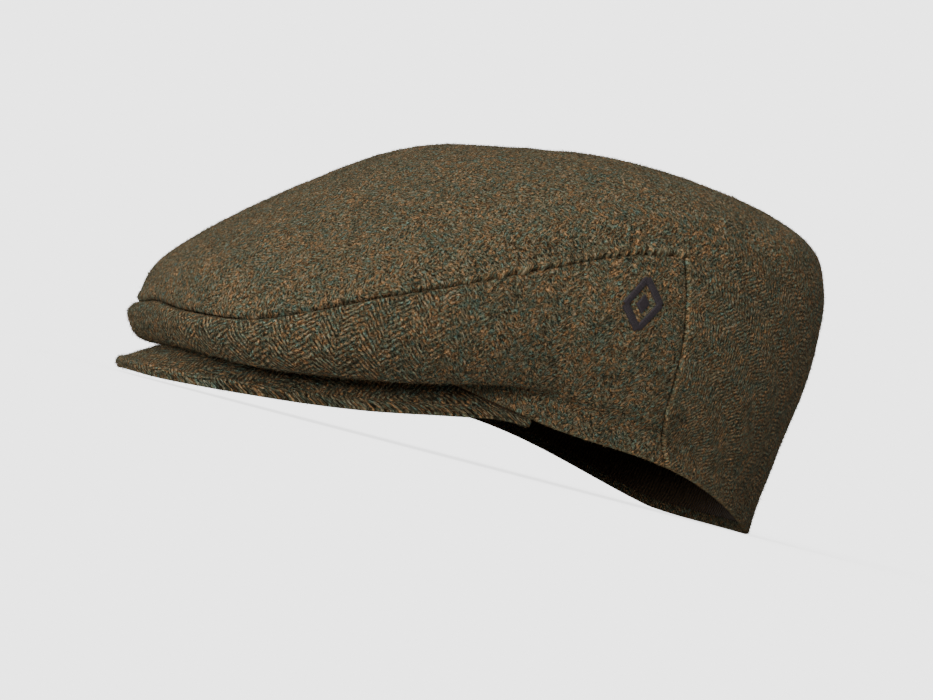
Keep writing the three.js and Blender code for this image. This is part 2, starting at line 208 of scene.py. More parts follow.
def crown_point(turn, row):
    """The crown's outer face, at a turn from the front in degrees and a row in knots from the hem's edge.
    Each spoke is a smooth curve through its knots, which does not overshoot where they lie close."""
    turn, row = np.broadcast_arrays(np.asarray(turn, float), np.asarray(row, float))
    shape = turn.shape
    turn, row = turn.ravel(), row.ravel()
    knots = spoke_knots(turn)
    across = spoke_knots(180.0 - from_front(turn))[:, TOP_KNOT - 1] * [-1, 1]
    below = 2 * knots[:, 0] - knots[:, 1]
    line = np.concatenate([below[:, None], knots, across[:, None]], axis=1)
    k = np.clip(np.floor(row).astype(int), 0, TOP_KNOT - 1)
    pick = np.arange(len(turn))
    p0, p1, p2, p3 = (line[pick, k + m] for m in range(4))
    pairs = ((p0, p1), (p1, p2), (p2, p3))
    d0, d1, d2 = (np.sqrt(np.linalg.norm(b - a, axis=1))[:, None] for a, b in pairs)
    d0, d2 = np.where(d0 < 1e-4, d1, d0), np.where(d2 < 1e-4, d1, d2)
    t1 = ((p1 - p0) / d0 - (p2 - p0) / (d0 + d1) + (p2 - p1) / d1) * d1
    t2 = ((p2 - p1) / d1 - (p3 - p1) / (d1 + d2) + (p3 - p2) / d2) * d1
    t = (row - k)[:, None]
    at = p1 + t1 * t + (-3 * p1 + 3 * p2 - 2 * t1 - t2) * t**2 + (2 * p1 - 2 * p2 + t1 + t2) * t**3
    within_edge = at[:, 0] < peak_edge_out(turn)
    over_peak = (from_front(turn) < PEAK_END_TURN) & (row > 0) & (row < SEAM_KNOT) & within_edge
    floor = np.where(over_peak, peak_top(turn, at[:, 0]) + REST_GAP, 0.0)
    return polar_point(turn, at[:, 0], np.maximum(at[:, 1], floor)).reshape(shape + (3,))


def steps_at(turn, row):
    """The lengths of the surface's two steps, its outward normal and its direction up a spoke."""
    step = 0.02  # degrees, and knots
    along_turn = (crown_point(turn + step, row) - crown_point(turn - step, row)) / (2 * step)
    low, high = np.maximum(row - step, 0.0), np.minimum(row + step, TOP_KNOT)
    along_row = (crown_point(turn, high) - crown_point(turn, low)) / (high - low)[..., None]
    normal = np.cross(along_turn, along_row)
    normal /= np.maximum(np.linalg.norm(normal, axis=-1, keepdims=True), 1e-9)
    row_length = np.linalg.norm(along_row, axis=-1)
    upward = along_row / np.maximum(row_length, 1e-9)[..., None]
    return np.linalg.norm(along_turn, axis=-1), row_length, normal, upward


def rear_seam_turn(row):
    share = np.clip(row / SEAM_KNOT, 0.0, 1.0)
    return REAR_SEAM_TURN_AT_HEM + (REAR_SEAM_TURN_AT_TOP - REAR_SEAM_TURN_AT_HEM) * share


def ripple(points, length, seed):
    """Gentle seeded unevenness from about -1 to 1, with bumps about the given length across."""
    waves, usual_sum = 7, 4.0
    rng = np.random.default_rng(seed)
    total = np.zeros(points.shape[:-1])
    for _ in range(waves):
        direction = rng.normal(size=3)
        direction /= np.linalg.norm(direction)
        wave = rng.uniform(0.7, 1.5) * 2 * np.pi / (2 * length)
        total += np.sin(points @ direction * wave + rng.uniform(0, 2 * np.pi))
    return total / usual_sum


def bell(x, middle, width):
    """A smooth bump: 1 at its middle, and next to nothing at twice its width from there."""
    return np.exp(-(((x - middle) / width) ** 2))


# Meshes

def make_piece(name, points, faces, material, cloth, slot="tweed", **weights):
    """A mesh piece from millimetres, with its place on the flat cloth and other weights at each point."""
    mesh = bpy.data.meshes.new(name)
    mesh.from_pydata((points.reshape(-1, 3) * 0.001).tolist(), [], faces)
    mesh.validate()
    layer = mesh.attributes.new("cloth_mm", "FLOAT_VECTOR", "POINT")
    layer.data.foreach_set("vector", np.asarray(cloth, np.float32).ravel())
    for key, values in weights.items():
        layer = mesh.attributes.new(key, "FLOAT", "POINT")
        layer.data.foreach_set("value", np.asarray(values, np.float32).ravel())
    mesh.polygons.foreach_set("use_smooth", [True] * len(mesh.polygons))
    mesh.materials.append(material)
    piece = bpy.data.objects.new(name, mesh)
    bpy.context.scene.collection.objects.link(piece)
    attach(piece, "root")
    return piece


def faces_between(rings, next_rings):
    """Faces between neighbour rings of point numbers, each closed on itself along its last axis."""
    after, next_after = (np.roll(ids, -1, axis=-1) for ids in (rings, next_rings))
    return np.stack([rings, next_rings, next_after, after], axis=-1).reshape(-1, 4).tolist()


def shell_faces(ids, strides, kept):
    """Outer and inner faces of a grid of points, with a wall along every open edge.
    A row of cells takes its stride in columns, so the cloth is finer beside a seam."""
    count = ids.max() + 1
    lines = np.minimum(np.concatenate([strides[:1], strides]), np.concatenate([strides, strides[-1:]]))
    faces = []
    edges = set()
    for r, stride in enumerate(strides):
        for c in range(0, ids.shape[0] - 1, stride):
            if not kept[c, r]:
                continue
            low = [int(ids[c + k, r]) for k in range(0, stride + 1, lines[r])]
            high = [int(ids[c + k, r + 1]) for k in range(stride, -1, -lines[r + 1])]
            loop = [v for k, v in enumerate(low + high) if v != (low + high)[k - 1]]
            faces.append(loop)
            faces.append([v + count for v in reversed(loop)])
            for a, b in zip(loop, loop[1:] + loop[:1]):
                if (b, a) in edges:
                    edges.remove((b, a))
                else:
                    edges.add((a, b))
    faces += [[a, a + count, b + count, b] for a, b in sorted(edges)]
    return faces


def shell_piece(name, outer, inner, cloth, strides, kept, closed_top, material, slot="tweed", **weights):
    """A piece of cloth with an outer and an inner face. A closed one wraps round and ends in a point."""
    columns, rows = outer.shape[:2]
    ids = np.arange(columns * rows).reshape(columns, rows)
    if closed_top:
        ids[-1] = ids[0]
        ids[:, -1] = ids[0, -1]
    faces = shell_faces(ids, np.asarray(strides), kept)
    offset = ids.max() + 1
    points = np.concatenate([outer.reshape(-1, 3)[:offset], inner.reshape(-1, 3)[:offset]])
    both = {key: np.concatenate([value.ravel()[:offset]] * 2) for key, value in weights.items()}
    cloth = np.concatenate([cloth.reshape(-1, 3)[:offset]] * 2)
    used = np.unique(np.concatenate([np.array(face) for face in faces]))
    new = np.full(2 * offset, -1)
    new[used] = np.arange(len(used))
    faces = [new[face].tolist() for face in faces]
    both = {key: value[used] for key, value in both.items()}
    return make_piece(name, points[used], faces, material, cloth[used], slot, **both)


def graded(count, fine_low, fine_high):
    """Shares from 0 to 1 that crowd towards one or both ends."""
    t = np.linspace(0, 1, count + 1)
    low = t - fine_low * np.sin(np.pi * t) / np.pi * (1 - t)
    return low + fine_high * np.sin(np.pi * t) / np.pi * t


# The crown's cloth

SEAM_OPENING = 0.12  # between two panels, where they turn under
HEM_ROLL = 1.05  # the hem's edge is a fold of this radius
FRONT_SHARES = graded(288, 0.0, 0.8)
REAR_SHARES = graded(160, 0.8, 0.8)
# Rows of points, in knots, which crowd at the hem's edge and at the top seam.
LOWER_ROWS = np.concatenate([
    [0, 0.03, 0.07, 0.12, 0.18, 0.26, 0.4, 0.6, 0.8], np.linspace(1, 3.7, 64),
    [3.75, 3.8, 3.84, 3.88, 3.91, 3.94, 3.96, 3.975, 3.988, 4.0]])
UPPER_ROWS = np.concatenate([
    [4.0, 4.012, 4.03, 4.05, 4.08, 4.11, 4.15, 4.2, 4.25, 4.31, 4.38], np.linspace(4.46, 7.9, 52), [8.0]])
FINE_BELOW, FINE_ABOVE = 3.7, 4.38  # the rows between which the seam is drawn finely

# Heights of the cloth's relief, off the smooth crown.
GATHER_HEIGHT = 1.6
GATHER_OVERHANG = 1.7  # how far a gather hangs down over the top seam
SMALL_GATHER_SHARE = 0.7
PULL_ABOVE_SEAM = 0.8
PULL_BELOW_SEAM = 0.7
PUFF_HEIGHT = 0.3
REAR_RIDGE_HEIGHT = 0.12
REAR_GATHER_HEIGHT = 0.9
PEAK_END_CREASE_HEIGHT = 0.55
HEM_WAVE_HEIGHT = 0.5
OFF_PEAK_ROWS = (2.1, 2.6)  # in knots: below the first the cloth lies on the peak, and is smooth
PUCKERS_START, PUCKERS_FULL = 32, 72  # degrees from the front


def lumps(along, pitch, seed):
    """Uneven gathers along a seam, from 0 to 1, about a pitch apart."""
    phase = 2 * np.pi * along / pitch
    phase = phase + 2.3 * np.sin(along / 9.1 + seed) + 1.2 * np.sin(along / 4.3 + 2 * seed)
    swell = 0.62 + 0.38 * np.sin(along / 12.7 + 3 * seed)
    return (0.5 + 0.5 * np.cos(phase)) ** 1.3 * swell


def gathers(along):
    """The small puckers where the top panel is eased onto the side band."""
    small = SMALL_GATHER_SHARE * lumps(along, pitch=3.4, seed=6.0)
    return np.maximum(lumps(along, pitch=6.1, seed=1.0), small)


def rear_gathers(height):
    """The smaller puckers of a rear seam, which is a little longer than it is high."""
    return lumps(height * 1.05, pitch=2.9, seed=2.0)


def fold_under(distance, depth, width):
    """The groove of a seam, where the cloth on both sides rolls under."""
    return -depth * np.exp(-(distance / width) ** 1.6)


def top_seam_relief(distance, along, puckered, above):
    """Beside the top seam the cloth rolls under. The top panel's edge is puffed, and gathered at the sides
    and the back."""
    beads = gathers(along) * bell(distance, middle=1.2, width=1.1)
    pull = (lumps(along, pitch=9.5, seed=4.0) - 0.5) * bell(distance, middle=4.5, width=4.5)
    puff = PUFF_HEIGHT * bell(distance, middle=2.2, width=1.8)
    upper = puff + puckered * (GATHER_HEIGHT * beads + PULL_ABOVE_SEAM * pull)
    lower = -0.12 * bell(distance, middle=0.0, width=3.0) + puckered * PULL_BELOW_SEAM * pull
    return fold_under(distance, depth=1.5, width=0.7) + np.where(above, upper, lower)


def rear_seam_relief(distance, height, behind):
    """The top panel's edge stands as a ridge of small gathers, and the side band's edge lies lower."""
    beads = REAR_RIDGE_HEIGHT + REAR_GATHER_HEIGHT * rear_gathers(height)
    ridge = beads * bell(distance, middle=1.0, width=0.85)
    hollow = -0.25 * bell(distance, middle=0.0, width=2.4)
    return fold_under(distance, depth=1.0, width=0.55) + np.where(behind, ridge, hollow)


def end_of_peak_creases(point, turns):
    """Short creases that fan out where the peak's end pulls on the band."""
    end = polar_point(PEAK_END_TURN, hem_out(PEAK_END_TURN), hem_height(PEAK_END_TURN))
    away = np.where(turns < 0, -1, 1)[..., None] * [1.0, 0, 0] + [0, 1.0, 1.0]
    offset = point * away - end
    reach = np.linalg.norm(offset, axis=-1)
    angle = np.arctan2(offset[..., 2], offset[..., 1] + 2.0)
    fan = np.cos(angle * 9.0 + 0.6 * np.sin(reach / 3.0))
    near_end = bell(reach, middle=8.0, width=7.0)
    return PEAK_END_CREASE_HEIGHT * fan * near_end * smooth(-3.0, 3.0, offset[..., 1])


CLOTH_WAVES = [(0.42, 36.0, 5), (0.16, 11.0, 6), (0.05, 3.0, 8)]  # height, length and seed


def settle(point):
    """The cloth's soft unevenness over its stiffening."""
    return sum(height * ripple(point, length, seed) for height, length, seed in CLOTH_WAVES)


SEAM_TURNS = np.linspace(-180, 180, 721)
SEAM_STEPS = np.linalg.norm(np.diff(crown_point(SEAM_TURNS, SEAM_KNOT), axis=0), axis=-1)
SEAM_RUN = np.concatenate([[0.0], np.cumsum(SEAM_STEPS)])


def crown_cloth(turns, rows):
    """Outer and inner points for places on the crown, and how worn the cloth is there."""
    along_turn, along_row, normal, upward = steps_at(turns, rows)
    point = crown_point(turns, rows)
    front = from_front(turns)
    rear = rear_seam_turn(rows)
    up_seam = np.abs(rows - SEAM_KNOT) * along_row
    beside_rear = np.abs(front - rear) * along_turn
    rear_distance = np.where(rows > SEAM_KNOT, np.hypot(beside_rear, up_seam), beside_rear)
    top_distance = np.where(front <= rear + 1e-6, up_seam, np.hypot(up_seam, beside_rear))
    run = np.interp((turns + 180.0) % 360.0 - 180.0, SEAM_TURNS, SEAM_RUN)
    height = point[..., 2]
    puckered = smooth(PUCKERS_START, PUCKERS_FULL, front)
    above = rows > SEAM_KNOT - 1e-3
    behind = front > rear - 1e-3
    relief = top_seam_relief(top_distance, run, puckered, above)
    relief = relief + rear_seam_relief(rear_distance, height, behind)
    off_peak = np.where(front < PEAK_END_TURN, smooth(*OFF_PEAK_ROWS, rows), 1.0)
    relief = np.where(relief > 0, relief * off_peak, relief * (0.3 + 0.7 * off_peak))
    creases = end_of_peak_creases(point, turns) * smooth(PEAK_END_TURN, PEAK_END_TURN + 4, front)
    uneven = (settle(point) + creases) * smooth(0.0, 1.2, rows) * off_peak
    beside_peak = smooth(PEAK_END_TURN, PEAK_END_TURN + 3, front)
    hem_wave = HEM_WAVE_HEIGHT * ripple(point * [1, 1, 0], length=9.0, seed=9)
    hem_wave = hem_wave * (rows < TUCK_KNOT) * beside_peak
    lift = relief + uneven + hem_wave
    overhang = GATHER_OVERHANG * gathers(run) * puckered * above * bell(top_distance, middle=0.0, width=1.3)
    outer = point + normal * lift[..., None] - upward * overhang[..., None]
    radial = np.stack([np.sin(np.radians(turns)), -np.cos(np.radians(turns)), np.zeros_like(turns)], axis=-1)
    blend = smooth(0.3, 1.2, rows)[..., None]
    inner = (point - radial * CLOTH_WALL) * (1 - blend) + (point - normal * CLOTH_WALL) * blend
    below = np.maximum(0.0, HEM_ROLL - rows * along_row) * (rows < TURN_UP_KNOT - 1e-3)
    roll = HEM_ROLL - np.sqrt(np.maximum(0.0, HEM_ROLL**2 - below**2))
    outer, inner = outer - radial * roll[..., None], inner + radial * roll[..., None]
    gathered = gathers(run) * puckered * above * bell(top_distance, middle=1.0, width=1.0)
    ridge = (0.15 + 0.75 * rear_gathers(height)) * behind * bell(rear_distance, middle=0.9, width=1.0)
    rim = 0.5 * bell(rows * along_row, middle=0.0, width=0.8) * (rows < TURN_UP_KNOT)
    wear = np.maximum(np.maximum(0.75 * gathered, ridge), rim)
    return outer, inner, wear


def spoke_length(turns, rows):
    """Arc length from the top point down each spoke."""
    columns, steps = 120, 160
    sample = np.linspace(-180, 180, columns + 1)
    line = crown_point(sample[:, None], np.linspace(0, TOP_KNOT, steps + 1)[None, :])
    pieces = np.linalg.norm(np.diff(line, axis=1), axis=-1)
    start = np.zeros((columns + 1, 1))
    length = np.concatenate([start, np.cumsum(pieces[:, ::-1], axis=1)], axis=1)[:, ::-1]
    t = ((turns + 180.0) % 360.0) / 360.0 * columns
    r = np.clip(rows / TOP_KNOT * steps, 0, steps)
    a, b = np.clip(t.astype(int), 0, columns - 1), np.clip(r.astype(int), 0, steps - 1)
    u, v = t - a, r - b
    low = length[a, b] * (1 - v) + length[a, b + 1] * v
    high = length[a + 1, b] * (1 - v) + length[a + 1, b + 1] * v
    return low * (1 - u) + high * u


def make_side_band(material):
    shares = np.concatenate([-FRONT_SHARES[::-1][:-1], FRONT_SHARES])
    rows = np.ones((len(shares), 1)) * LOWER_ROWS
    turns = shares[:, None] * rear_seam_turn(rows)
    along_turn, along_row, _, _ = steps_at(turns, rows)
    turns = turns - np.sign(shares)[:, None] * (np.abs(shares)[:, None] == 1) * SEAM_OPENING / along_turn
    rows = np.where(rows == SEAM_KNOT, SEAM_KNOT - SEAM_OPENING / along_row, rows)
    outer, inner, wear = crown_cloth(turns, rows)
    belly = crown_point(turns, np.full_like(rows, BELLY_KNOT))
    steps = np.linalg.norm(np.diff(belly, axis=0), axis=-1)
    run = np.concatenate([np.zeros((1, rows.shape[1])), np.cumsum(steps, axis=0)])
    run = run - run[len(shares) // 2]
    cloth = np.stack([run, -spoke_length(turns, rows), np.zeros_like(run)], axis=-1)
    # The herringbone shows most at the front, where the cloth is less brushed.
    weave = 1.0 - 0.75 * smooth(40, 75, from_front(turns))
    strides = np.where(LOWER_ROWS[:-1] < FINE_BELOW - 1e-6, 2, 1)
    kept = np.ones(np.array(rows.shape) - 1, bool)
    piece = shell_piece("side_band_cloth", outer, inner, cloth, strides, kept, False, material,
                        seam_wear=wear, weave=weave)
    return piece, (outer, cloth, kept)


def make_top_panel(material):
    rows_line = np.concatenate([LOWER_ROWS[:-1], UPPER_ROWS])
    seam_index = len(LOWER_ROWS) - 1
    front = np.concatenate([-FRONT_SHARES[::-1][:-1], FRONT_SHARES])
    seam = rear_seam_turn(rows_line)[None, :]
    turns = np.concatenate([front[:, None] * seam, seam + REAR_SHARES[1:, None] * (360.0 - 2 * seam)])
    rows = np.ones((len(turns), 1)) * rows_line
    along_turn, along_row, _, _ = steps_at(turns, rows)
    last = len(front) - 1
    lower = np.arange(rows.shape[1]) <= seam_index
    turns[last, lower] += SEAM_OPENING / along_turn[last, lower]
    turns[-1, lower] -= SEAM_OPENING / along_turn[-1, lower]
    turns[0, lower] = turns[-1, lower] - 360.0
    on_seam = np.zeros_like(rows, bool)
    on_seam[: last + 1, seam_index] = True
    on_seam[-1, seam_index] = True
    rows = np.where(on_seam, SEAM_KNOT + SEAM_OPENING / along_row, rows)
    outer, inner, wear = crown_cloth(turns, rows)
    outer[:, -1] = outer[:, -2].mean(axis=0)
    inner[:, -1] = inner[:, -2].mean(axis=0)
    length = spoke_length(turns, rows)
    angle = np.radians(turns)
    cloth = np.stack([length * np.sin(angle), -length * np.cos(angle), 0 * turns], axis=-1)
    weave = 0.3 + 0.5 * smooth(4.6, 3.6, rows) * smooth(100, 125, from_front(turns))
    strides = np.where(rows_line[:-1] > FINE_ABOVE + 1e-6, 4, 1)
    kept = np.ones(np.array(rows.shape) - 1, bool)
    kept[:last, :seam_index] = False
    piece = shell_piece("top_panel_cloth", outer, inner, cloth, strides, kept, True, material,
                        seam_wear=wear, weave=weave)
    return piece, (outer, cloth, kept)


# The peak

PEAK_STITCH = 3.2  # between the stitches that draw the edge in
PEAK_GROOVE_LIFT = -38.0  # degrees round the peak's edge, where the top cloth meets the underside's
PEAK_LIP_LIFT = -68.0  # where the underside's cloth stands out below that groove
PEAK_UNDER_SINK = 0.35  # the underside's cloth draws in towards its middle
PEAK_CLEARANCE = 0.02  # over the table
CROWN_BELLY_COVER = 4.0  # how far past the hem the crown hides the peak's top


def make_peak(material):
    columns = 280
    spread = np.linspace(0, 1, 44)
    lifts = np.radians(np.linspace(-80, 80, 15))
    turns = PEAK_END_TURN * np.linspace(-1, 1, columns + 1)[:, None]
    inner = hem_out(turns) - CLOTH_WALL
    thickness = peak_thickness_at(turns)
    edge = peak_edge_out(turns) - thickness / 2
    rim = polar_point(turns, edge, 0.0)
    run = np.concatenate([np.zeros((1, 1)), np.cumsum(np.linalg.norm(np.diff(rim, axis=0), axis=-1), axis=0)])
    out = inner + (edge - inner) * spread
    top_z = peak_top(turns, out)
    flat = polar_point(turns, out, 0.0)
    outside = smooth(-2.0, 6.0, out - hem_out(turns) - 6.0)
    uneven = 0.14 * ripple(flat, length=15.0, seed=21) + 0.05 * ripple(flat, length=4.0, seed=22)
    drawn = 0.12 * lumps(run, PEAK_STITCH, seed=5.0) * bell(edge - out, middle=0.0, width=3.0)
    top = polar_point(turns, out, top_z + (uneven - 0.1 - drawn) * outside)
    sunk = PEAK_UNDER_SINK * smooth(0.0, 0.12, spread) * smooth(1.0, 0.5, spread)
    under = polar_point(turns, out, top_z - thickness + sunk)
    mid = peak_top(turns, edge) - thickness / 2
    groove = bell(np.degrees(lifts), PEAK_GROOVE_LIFT, width=13.0)
    lip = bell(np.degrees(lifts), PEAK_LIP_LIFT, width=14.0)
    stitched = 0.5 + 0.5 * np.cos(2 * np.pi * run / PEAK_STITCH + 0.9 * np.sin(run / 6.0))
    radius = thickness / 2 - groove * (0.35 + 0.3 * stitched) + 0.12 * lip * (1 - stitched)
    radius = radius + 0.08 * ripple(rim, length=7.0, seed=23)
    nose = polar_point(turns, edge + radius * np.cos(lifts), mid + radius * np.sin(lifts))
    loop = np.concatenate([under, nose, top[:, ::-1]], axis=1)
    loop[..., 2] = np.maximum(loop[..., 2], PEAK_CLEARANCE)
    size = loop.shape[1]
    ids = np.arange(loop.shape[0] * size).reshape(-1, size)
    faces = faces_between(ids[:-1], ids[1:]) + [ids[0].tolist(), ids[-1][::-1].tolist()]
    side = np.concatenate([np.full(len(spread), -1.0), np.sin(lifts), np.full(len(spread), 1.0)])
    cloth = np.stack([loop[..., 0], loop[..., 1] + side * 3.0, loop[..., 2] * 0.6], axis=-1)
    weave = np.full(loop.shape[:2], 0.85)
    wear = np.zeros(loop.shape[:2])
    wear[:, len(spread):len(spread) + len(lifts)] = 0.45 * lip * (1 - stitched)
    piece = make_piece("peak_cloth", loop, faces, material, cloth, seam_wear=wear, weave=weave)
    shown = np.ones((columns, size - 1), bool)
    shown[:, :len(spread)] = False
    hidden = out[:-1, ::-1][:, :-1] < hem_out(turns[:-1]) + CROWN_BELLY_COVER
    shown[:, size - len(spread):] &= ~hidden
    return piece, (loop, cloth, shown)


# Inside

SWEATBAND_STITCHES = 120
SWEATBAND_STITCH_LINE = 0.12  # as a share of the band's height
LINING_WALL = 1.0
LINING_GORES = 4
LINING_GATHERS = 34


def band_face(turn):
    return hem_out(turn) - CLOTH_WALL - INNER_GAP


def make_sweatband(material):
    turns = np.linspace(-180, 180, 361)[:-1][:, None]
    beside = smooth(PEAK_END_TURN - 8, PEAK_END_TURN + 8, np.abs(turns))
    bottom = hem_height(turns) + (-PEAK_TIP_THICKNESS / 2) * (1 - beside) + SWEATBAND_RISE * beside
    top = hem_height(turns) + SWEATBAND_HEIGHT
    share = np.linspace(0, 1, 25)
    z = bottom + (top - bottom) * share
    lean = SWEATBAND_LEAN * share
    fold = 0.3 * bell(share, middle=0.0, width=0.08) + 0.3 * bell(share, middle=1.0, width=0.08)
    stitches = 0.5 + 0.5 * np.cos(np.radians(turns) * SWEATBAND_STITCHES)
    stitch = -0.25 * bell(share, SWEATBAND_STITCH_LINE, width=0.03) * stitches
    face = band_face(turns)
    swell = 0.35 * ripple(polar_point(turns, face, z), length=26.0, seed=31) * np.sin(np.pi * share)
    outer = polar_point(turns, face - lean, z)
    inner = polar_point(turns, face - lean - SWEATBAND_THICKNESS - fold - stitch - np.abs(swell), z)
    loop = np.concatenate([outer, inner[:, ::-1]], axis=1)
    size = loop.shape[1]
    ids = np.arange(len(turns) * size).reshape(-1, size)
    faces = faces_between(ids, np.roll(ids, -1, axis=0))
    around = np.cumsum(np.linalg.norm(np.diff(outer[:, 0], axis=0, append=outer[:1, 0]), axis=-1))
    over_hem = loop[..., 2] - hem_height(turns)
    cloth = np.stack([around[:, None] * np.ones(size), over_hem, 0 * loop[..., 2]], axis=-1)
    return make_piece("sweatband_twill", loop, faces, material, cloth, "lining")


def lining_face(turns, rise, inset):
    """How far out and how high the lining's dome is, on its outer face or inset from it."""
    share = 2 / LINING_FULLNESS
    out = band_face(turns) - SWEATBAND_LEAN - inset
    foot = hem_height(turns) + SWEATBAND_HEIGHT + INNER_GAP
    top = CROWN_HEIGHT * TOP_POINT_UP - CLOTH_WALL - LINING_HEADROOM - inset
    angle = np.radians(90 * rise)
    return out * np.maximum(np.cos(angle), 0) ** share, foot + (top - foot) * np.sin(angle) ** share


def make_lining(material):
    turns = np.linspace(-180, 180, 241)[:, None]
    rise = np.linspace(0, 1, 37)
    outer = polar_point(turns, *lining_face(turns, rise, 0.0))
    out, z = lining_face(turns, rise, LINING_WALL)
    from_seam = np.abs((turns + 360.0) % (360.0 / LINING_GORES) - 180.0 / LINING_GORES)
    seam = 0.8 * bell(np.radians(from_seam) * out, middle=0.0, width=2.5)
    gather = 0.4 * (1 + np.sin(np.radians(turns) * LINING_GATHERS)) * smooth(0.3, 0.0, rise)
    inner = polar_point(turns, np.maximum(out - seam - gather * 0.5, 0.0), z)
    inner[:, -1] = inner[0, -1]
    # On the flat cloth a degree round is about 1.7 mm, and the way up to the top is about 120 mm.
    around, up = turns * 1.7 * np.ones_like(rise), 120 * rise * np.ones_like(turns)
    cloth = np.stack([around, up, 0 * turns * rise], axis=-1)
    kept = np.ones(np.array(outer.shape[:2]) - 1, bool)
    strides = np.ones(len(rise) - 1, int)
    return shell_piece("crown_lining_twill", outer, inner, cloth, strides, kept, True, material, "lining")


# The nap: short wool fibres that stand off the brushed cloth.

NAP_LENGTH = 1.0
NAP_LENGTH_SPREAD = 0.35
NAP_RADIUS = 0.085
NAP_ROOT = 0.1  # the part of a fibre that is in the cloth
NAP_LIFT = (8, 48)  # degrees off the cloth
NAP_CORNERS = (0.5, 2.6, 4.7)  # of a fibre's three-sided foot, in radians
NAP_SPREAD = 0.3  # how far a fibre's colour is taken from beside its root
FLOOR_CLEARANCE = 0.1  # fibres that meet the table are pressed flat on it


def make_nap(name, surface, count, seed, material):
    points, cloth, kept = surface
    rng = np.random.default_rng(seed)
    corner = points[:-1, :-1]
    across, up = points[1:, :-1] - corner, points[:-1, 1:] - corner
    normal = np.cross(across, up)
    area = np.linalg.norm(normal, axis=-1) * kept
    share = np.cumsum(area.ravel()) / area.sum()
    pick = np.minimum(np.searchsorted(share, rng.random(count)), area.size - 1)
    c, r = np.unravel_index(pick, area.shape)
    u, v = rng.random((2, count, 1))
    root = corner[c, r] + across[c, r] * u + up[c, r] * v
    out = normal[c, r] / np.maximum(area[c, r], 1e-9)[:, None]
    tangent = np.cross(out, rng.normal(size=(count, 3)))
    tangent /= np.linalg.norm(tangent, axis=1, keepdims=True)
    lift = np.radians(rng.uniform(*NAP_LIFT, (count, 1)))
    lean = tangent * np.cos(lift) + out * np.sin(lift)
    length = NAP_LENGTH * rng.lognormal(0.0, NAP_LENGTH_SPREAD, (count, 1))
    side = np.cross(lean, out)
    side /= np.linalg.norm(side, axis=1, keepdims=True)
    rise = np.cross(side, lean)
    foot = root - lean * NAP_ROOT
    corners = [foot + NAP_RADIUS * (math.cos(a) * side + math.sin(a) * rise) for a in NAP_CORNERS]
    fibre = np.stack(corners + [root + lean * length], axis=1)
    fibre[..., 2] = np.maximum(fibre[..., 2], FLOOR_CLEARANCE)
    loops = np.array([[0, 1, 2], [0, 3, 1], [1, 3, 2], [2, 3, 0]])
    faces = (loops[None] + 4 * np.arange(count)[:, None, None]).reshape(-1, 3)
    place = cloth[c, r] + rng.normal(scale=NAP_SPREAD, size=(count, 3)) * [1, 1, 0]
    return make_piece(name, fibre, faces.tolist(), material, np.repeat(place, 4, axis=0),
                      seam_wear=np.repeat(rng.uniform(0, 0.3, count), 4), weave=np.zeros(4 * count))


# The embroidered lozenge: satin stitches laid side by side across its outline and across its kernel.

MOTIF_TURN, MOTIF_ROW = 98.0, 3.36
MOTIF_HALF_WIDTH, MOTIF_HALF_HEIGHT = 7.2, 9.4
MOTIF_STROKE = 2.7
KERNEL_HALF_WIDTH, KERNEL_HALF_HEIGHT = 2.6, 3.4
MOTIF_THREAD = 0.42  # thread thickness
MOTIF_PITCH = MOTIF_THREAD * 0.85  # between stitches, which lie against each other
MOTIF_CLEARANCE = 0.05  # over the cloth, at a stitch's ends
MOTIF_PADDING = 0.5  # how high a stitch's middle stands over its ends


def motif_surface(across, up, lift):
    """A point at millimetres across and up from the motif's middle, standing off the cloth."""
    along_turn, along_row, _, _ = steps_at(np.array(MOTIF_TURN), np.array(MOTIF_ROW))
    turns, rows = MOTIF_TURN + across / along_turn, MOTIF_ROW + up / along_row
    _, _, normal, _ = steps_at(turns, rows)
    point = crown_point(turns, rows)
    return point + normal * (settle(point) + lift)[..., None]


def satin_stitches(start, end, reach):
    """Stitches side by side from start to end, each a thread that goes out by its reach on both sides."""
    start, end = np.array(start, float), np.array(end, float)
    run = np.linalg.norm(end - start)
    count = max(2, int(run / MOTIF_PITCH))
    along = (end - start) / run
    across = np.array([-along[1], along[0]])
    t = (np.arange(count) + 0.5) / count
    middle = start + t[:, None] * (end - start)
    s = np.linspace(-1, 1, 9)
    half = np.asarray(reach(t), float)[:, None]
    place = middle[:, None] + (s * half)[..., None] * across
    lift = MOTIF_CLEARANCE + MOTIF_PADDING * np.sqrt(np.maximum(0.0, 1 - s**2)) ** 0.6 * np.ones((count, 1))
    rings = []
    for a in np.radians([0, 60, 120, 180, 240, 300]):
        shift = 0.5 * MOTIF_THREAD * math.cos(a) * along
        height = lift + 0.5 * MOTIF_THREAD * math.sin(a)
        rings.append(motif_surface(place[..., 0] + shift[0], place[..., 1] + shift[1], height))
    return np.stack(rings, axis=2)


def stroke_reach(share):
    return 0.5 * MOTIF_STROKE * np.ones_like(share)


def kernel_reach(share):
    return KERNEL_HALF_WIDTH * (1 - np.abs(2 * share - 1)) + 0.15


